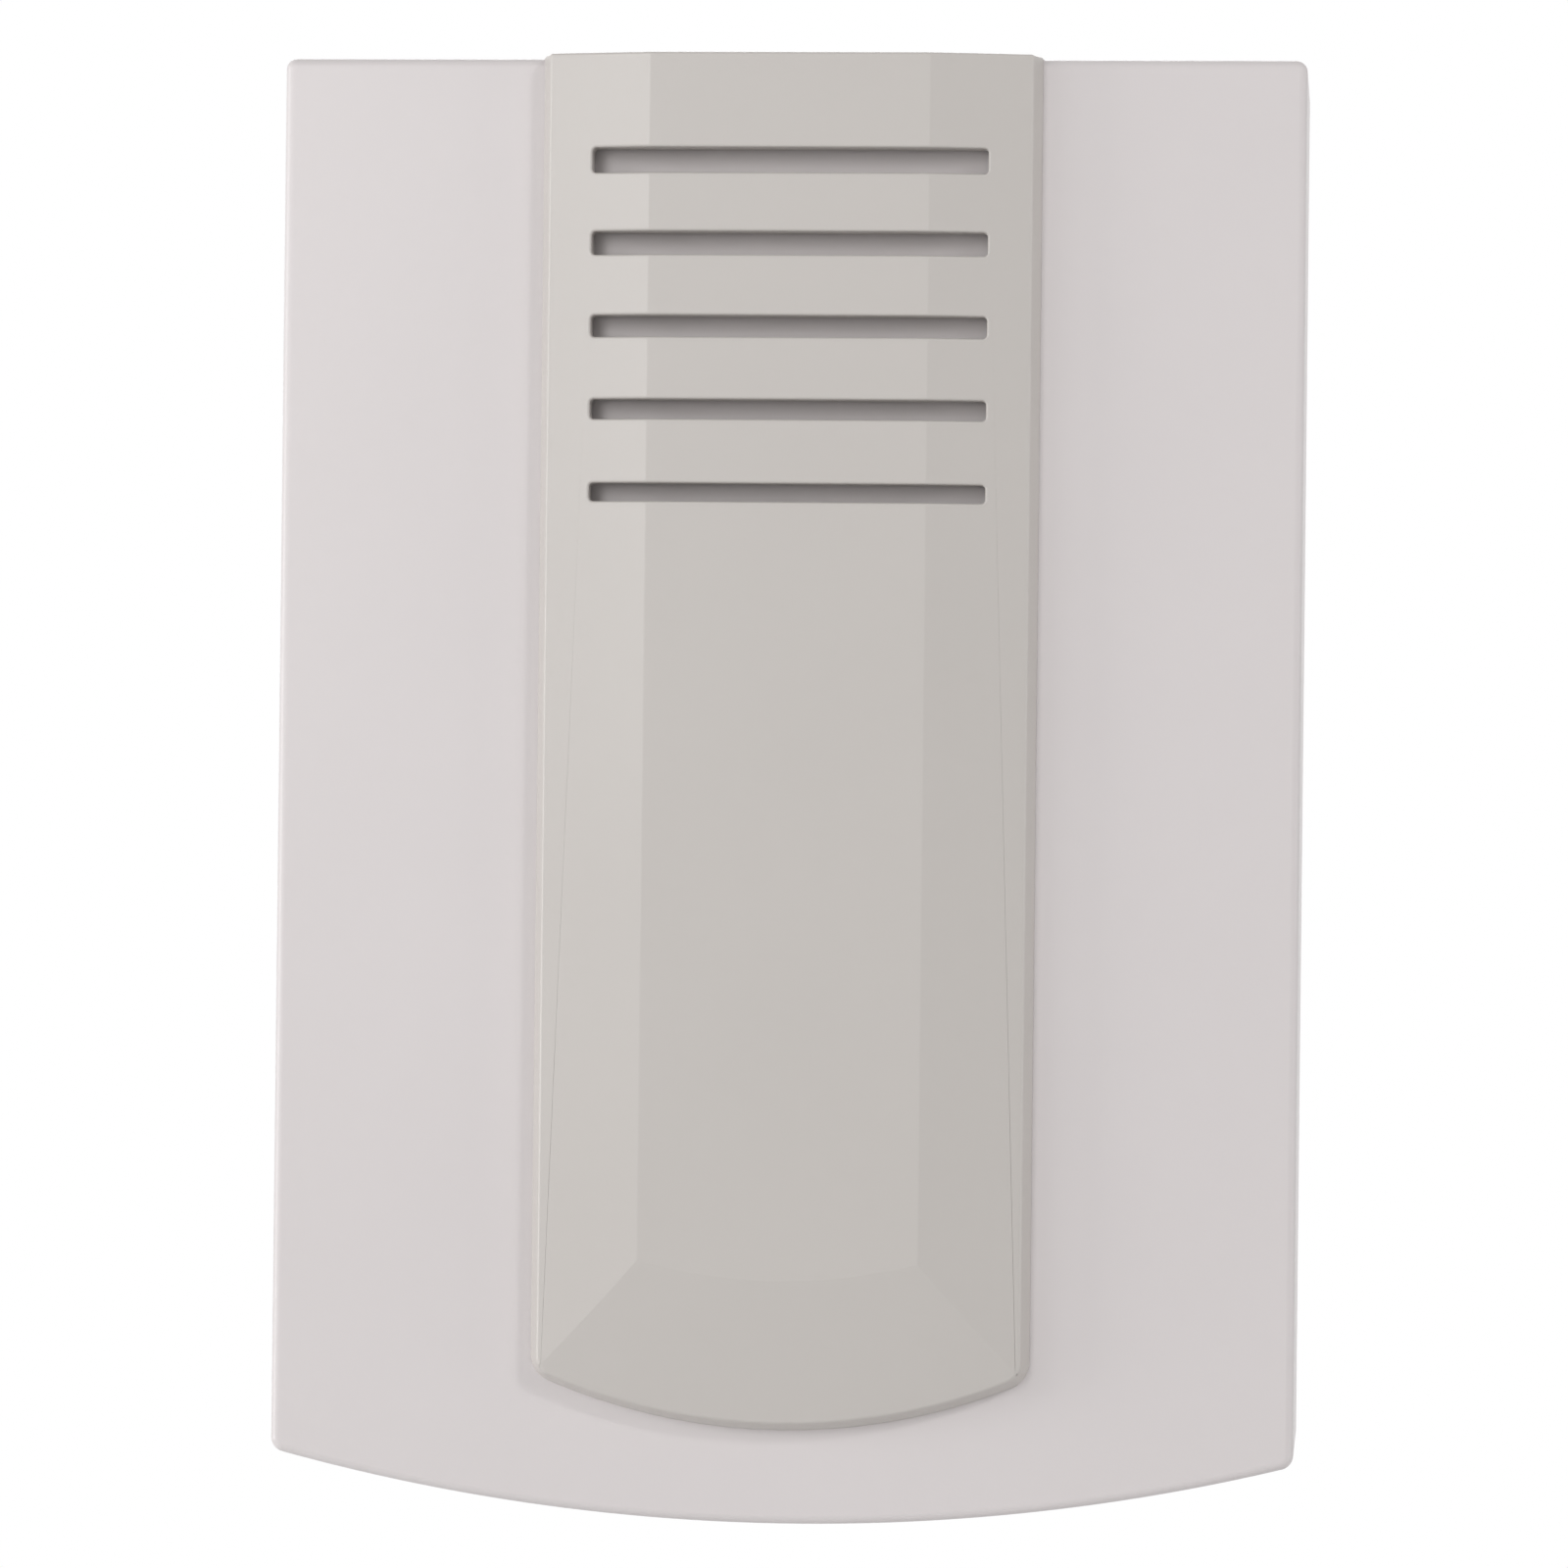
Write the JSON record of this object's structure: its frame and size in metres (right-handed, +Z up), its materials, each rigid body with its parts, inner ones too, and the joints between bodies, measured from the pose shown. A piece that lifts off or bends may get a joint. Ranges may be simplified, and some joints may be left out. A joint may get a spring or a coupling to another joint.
{
  "type": "door chime",
  "caption": "Wall-mounted door chime: white bow-ended case with a light grey slotted grille panel, and inside it a sprung solenoid striker between tone plates.",
  "frame": {"origin": "on the wall plane at the back plate's rear face, at the middle of the case's width and height", "axes": "+X to the right seen from the front, +Y into the wall, +Z up; the front faces -Y"},
  "size_m": [0.1408, 0.05, 0.2008],
  "materials": {
    "cover_plastic": "fine satin texture, white",
    "panel_plastic": "fine satin texture, light warm grey",
    "base_plastic": "moulded, off-white",
    "black_rubber": "matt",
    "grey_rubber": "matt",
    "nickel_strip": "nickel-plated strip",
    "spring_steel": "bright wire",
    "tone_steel": "bright zinc-plated, brushed lengthwise",
    "white_nylon": "natural nylon",
    "bobbin_nylon": "moulded, black",
    "copper_wire": "enamelled copper wire in layers",
    "zinc_steel": "zinc-plated",
    "plunger_steel": "turned and ground",
    "terminal_plastic": "moulded, dark grey",
    "brass": "drawn brass",
    "screw_steel": "zinc-plated",
    "red_insulation": "smooth sleeve",
    "black_insulation": "smooth sleeve",
    "copper_lead_sleeve": "smooth yellow sleeve"
  },
  "bodies": {
    "base": {"back_plate": "base_plastic", "cable_grommet": "black_rubber", "battery_cradle": "base_plastic", "contact_positive": "nickel_strip", "contact_negative": "nickel_strip", "contact_link": "nickel_strip", "cell_spring_lower": "spring_steel", "cell_spring_upper": "spring_steel", "tone_plate_high": "tone_steel", "tone_plate_low": "tone_steel", "tone_plate_grommets": "grey_rubber", "tone_plate_pins": "white_nylon", "solenoid_bobbin": "bobbin_nylon", "solenoid_winding": "copper_wire", "pole_plate_left": "zinc_steel", "pole_plate_right": "zinc_steel", "yoke_strip": "zinc_steel", "return_spring": "spring_steel", "terminal_block": "terminal_plastic", "terminal_clamps": "brass", "terminal_screws": "zinc_steel", "fixing_screws": "screw_steel", "battery_lead_positive": "red_insulation", "battery_lead_negative": "black_insulation", "coil_lead_push": "copper_lead_sleeve", "coil_lead_common": "copper_lead_sleeve"},
    "cover": {"front_cover": "cover_plastic", "grille_panel": "panel_plastic"},
    "striker": {"plunger": "plunger_steel", "striker_tip_left": "white_nylon", "striker_tip_right": "white_nylon", "spring_clip": "spring_steel"}
  },
  "joints": [
    {"name": "striker_slide", "type": "slide", "parent": "base", "child": "striker", "axis": [-1, 0, 0], "range_m": [-0.0024, 0.0094], "stiffness_N_per_m": 100, "deforming": ["return_spring"]},
    {"name": "cover_pull", "type": "slide", "parent": "base", "child": "cover", "axis": [0, -1, 0], "range_m": [0, 0.07]}
  ]
}
